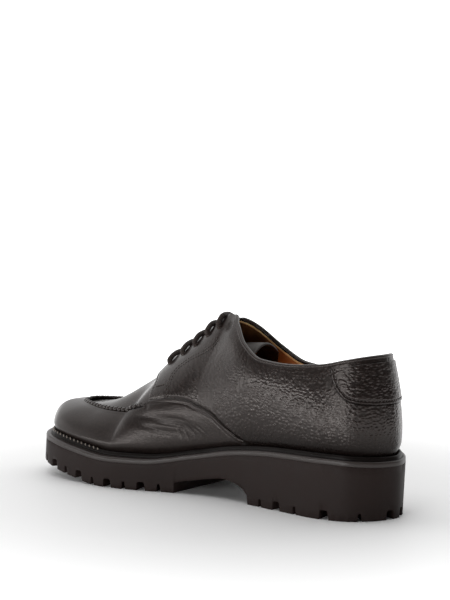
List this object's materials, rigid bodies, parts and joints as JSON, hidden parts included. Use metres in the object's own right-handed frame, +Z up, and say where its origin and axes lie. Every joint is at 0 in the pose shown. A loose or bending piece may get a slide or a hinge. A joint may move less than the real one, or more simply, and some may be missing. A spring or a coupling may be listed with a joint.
{
  "type": "derby shoe",
  "caption": "Right-foot leather derby shoe with an apron seam on the toe, open lacing, a storm welt and a thick lugged rubber sole with a stacked heel.",
  "frame": {"origin": "on the floor, under the middle of the shoe's box", "axes": "+Y towards the toe, +X towards the outer side of the right foot, +Z up"},
  "size_m": [0.106, 0.3066, 0.1296],
  "materials": {
    "upper_leather": "dark brown pebbled leather, semi-gloss",
    "tongue_leather": "dark brown soft leather, matt",
    "sole_rubber": "dark brown moulded rubber, matt",
    "welt": "dark brown burnished welt, satin",
    "lining": "tan lining leather, matt",
    "lace": "dark brown woven cord, waxed"
  },
  "bodies": {
    "root": {"outsole": "sole_rubber", "welt": "welt", "insole": "lining", "upper": "upper_leather", "vamp": "upper_leather", "quarter_inner": "upper_leather", "quarter_outer": "upper_leather", "heel_tab": "upper_leather", "collar_binding": "upper_leather", "apron_seam": "upper_leather", "tongue": "tongue_leather", "lace_bar_1": "lace", "lace_bar_2": "lace", "lace_bar_3": "lace", "lace_bar_4": "lace", "lace_bar_5": "lace"}
  },
  "joints": []
}
